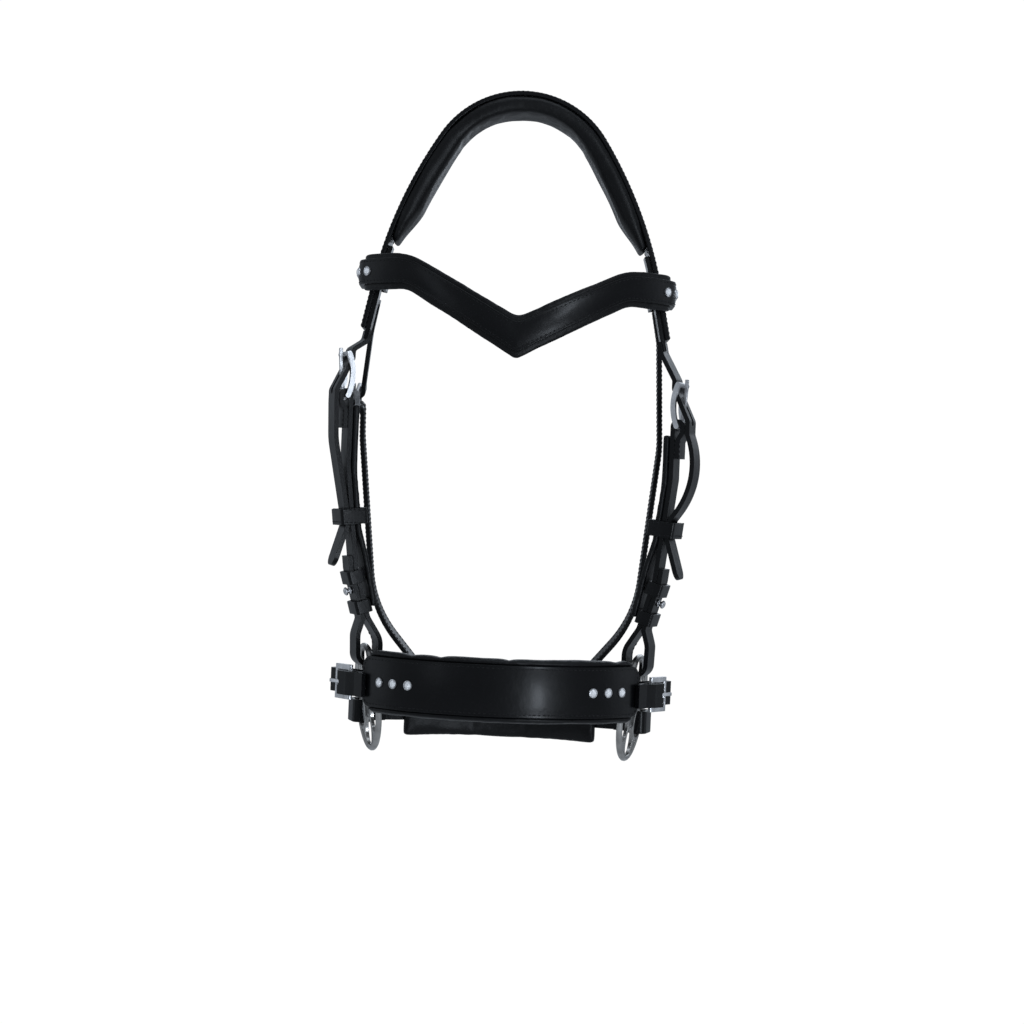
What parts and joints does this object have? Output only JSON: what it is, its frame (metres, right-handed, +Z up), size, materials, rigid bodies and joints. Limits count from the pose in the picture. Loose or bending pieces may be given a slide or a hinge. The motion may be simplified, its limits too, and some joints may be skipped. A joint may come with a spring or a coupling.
{
  "type": "bitless bridle",
  "caption": "Bitless wheel bridle: padded crownpiece, V browband, buckled cheekpieces, spoked side wheels, padded noseband with buckles, chin strap and throatlash",
  "frame": {"origin": "Underside of the padded crownpiece where it rests on the poll, in the middle plane", "axes": "+X to the right of a viewer who faces the horse, +Y back over the neck, +Z up"},
  "size_m": [0.2597, 0.2124, 0.4614],
  "materials": {
    "strap_leather": "smooth semi-gloss black strap leather",
    "padded_leather": "soft black padded leather",
    "buckle_steel": "polished stainless steel",
    "wheel_steel": "polished dark nickel",
    "crystal": "clear faceted crystal in a silver setting"
  },
  "bodies": {
    "frame": {"big_keeper_left": "strap_leather", "big_keeper_right": "strap_leather", "browband_crystals": "crystal", "browband_loop_left": "strap_leather", "browband_loop_right": "strap_leather", "browband_pad": "padded_leather", "browband_strap": "strap_leather", "cheek_buckle_left": "buckle_steel", "cheek_buckle_right": "buckle_steel", "cheek_lining_left": "padded_leather", "cheek_lining_right": "padded_leather", "cheek_strap_left": "strap_leather", "cheek_strap_right": "strap_leather", "chin_pad": "padded_leather", "chin_strap": "strap_leather", "crown_billet_left": "strap_leather", "crown_billet_right": "strap_leather", "crown_pad": "padded_leather", "crown_strap": "strap_leather", "hook_stud_left": "buckle_steel", "hook_stud_right": "buckle_steel", "nose_billet_left": "strap_leather", "nose_billet_right": "strap_leather", "nose_buckle_left": "buckle_steel", "nose_buckle_right": "buckle_steel", "nose_chape_left": "strap_leather", "nose_chape_right": "strap_leather", "noseband_crystals": "crystal", "noseband_pad": "padded_leather", "noseband_strap": "strap_leather", "small_keeper_left": "strap_leather", "small_keeper_right": "strap_leather", "throat_billet": "strap_leather", "throat_buckle": "buckle_steel", "throatlash": "strap_leather"},
    "wheel_left": {"wheel_left": "wheel_steel"},
    "cheek_tongue_left": {"cheek_tongue_left": "buckle_steel"},
    "nose_tongue_left": {"nose_tongue_left": "buckle_steel"},
    "loose_keeper_left": {"loose_keeper_left": "strap_leather"},
    "wheel_right": {"wheel_right": "wheel_steel"},
    "cheek_tongue_right": {"cheek_tongue_right": "buckle_steel"},
    "nose_tongue_right": {"nose_tongue_right": "buckle_steel"},
    "loose_keeper_right": {"loose_keeper_right": "strap_leather"},
    "throat_tongue": {"throat_tongue": "buckle_steel"}
  },
  "joints": [
    {"name": "wheel_turn_left", "type": "hinge", "parent": "frame", "child": "wheel_left", "pos_m": [-0.092, -0.008, -0.4095], "axis": [-0.9606, -0.2574, -0.1045], "range_deg": [-1, 1]},
    {"name": "cheek_tongue_turn_left", "type": "hinge", "parent": "frame", "child": "cheek_tongue_left", "pos_m": [-0.11705, -0.01688, -0.2015], "axis": [0.342, -0.9397, 0], "range_deg": [0, 20]},
    {"name": "nose_tongue_turn_left", "type": "hinge", "parent": "frame", "child": "nose_tongue_left", "pos_m": [-0.10259, -0.04155, -0.39747], "axis": [0, 0, 1], "range_deg": [0, 20]},
    {"name": "loose_keeper_slide_left", "type": "slide", "parent": "frame", "child": "loose_keeper_left", "axis": [-0.2676, -0.0974, 0.9586], "range_m": [0, 0.0035]},
    {"name": "wheel_turn_right", "type": "hinge", "parent": "frame", "child": "wheel_right", "pos_m": [0.092, -0.008, -0.4095], "axis": [0.9606, -0.2574, -0.1045], "range_deg": [-1, 1]},
    {"name": "cheek_tongue_turn_right", "type": "hinge", "parent": "frame", "child": "cheek_tongue_right", "pos_m": [0.11705, -0.01688, -0.2135], "axis": [0.342, 0.9397, 0], "range_deg": [0, 20]},
    {"name": "nose_tongue_turn_right", "type": "hinge", "parent": "frame", "child": "nose_tongue_right", "pos_m": [0.10259, -0.04155, -0.39747], "axis": [0, 0, -1], "range_deg": [0, 20]},
    {"name": "loose_keeper_slide_right", "type": "slide", "parent": "frame", "child": "loose_keeper_right", "axis": [0.2676, -0.0974, 0.9586], "range_m": [0, 0.0035]},
    {"name": "throat_tongue_turn", "type": "hinge", "parent": "frame", "child": "throat_tongue", "pos_m": [-0.11, 0.03441, -0.20813], "axis": [0, -0.9511, -0.309], "range_deg": [0, 20]}
  ]
}
